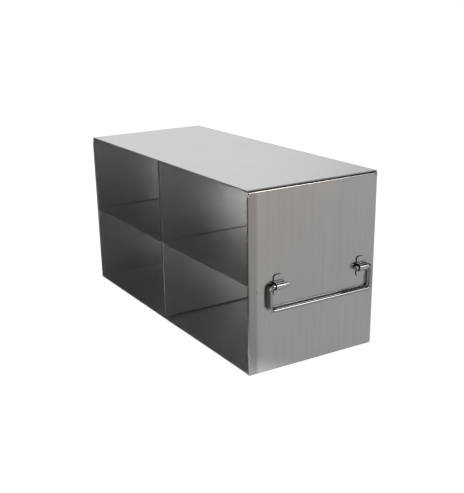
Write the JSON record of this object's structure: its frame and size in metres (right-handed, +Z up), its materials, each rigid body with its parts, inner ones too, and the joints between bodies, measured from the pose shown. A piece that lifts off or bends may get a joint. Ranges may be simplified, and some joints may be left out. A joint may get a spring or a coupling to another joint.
{
  "type": "freezer storage rack",
  "caption": "Side-access freezer rack: a folded sheet-metal box with open bays on two levels, a full-height divider, half-height shelves and a hinged wire bail handle.",
  "frame": {"origin": "middle of the underside of the box, on the surface it stands on", "axes": "+Z up; +Y from the handle end to the rear; +X from the open side to the closed side"},
  "size_m": [0.14, 0.3363, 0.168],
  "materials": {
    "shell_sheet": "cold-rolled stainless sheet, satin",
    "panel_sheet": "stainless sheet with a fine vertical grain",
    "inner_sheet": "cold-rolled stainless sheet, satin",
    "weld_metal": "dull, slightly darkened weld",
    "bracket_strap": "pressed stainless strap, satin",
    "handle_wire": "bright-drawn stainless wire, polished"
  },
  "bodies": {
    "rack": {"body_wrap": "shell_sheet", "front_panel": "panel_sheet", "rear_panel": "panel_sheet", "divider": "inner_sheet", "front_shelf": "inner_sheet", "rear_shelf": "inner_sheet", "shelf_plug_welds": "weld_metal", "handle_bracket_left": "bracket_strap", "handle_bracket_right": "bracket_strap"},
    "bail": {"bail_handle": "handle_wire"}
  },
  "joints": [
    {"name": "bail_swing", "type": "hinge", "parent": "rack", "child": "bail", "pos_m": [0.0065, -0.1681, 0.0805], "axis": [-1, 0, 0], "range_deg": [0, 180]}
  ]
}
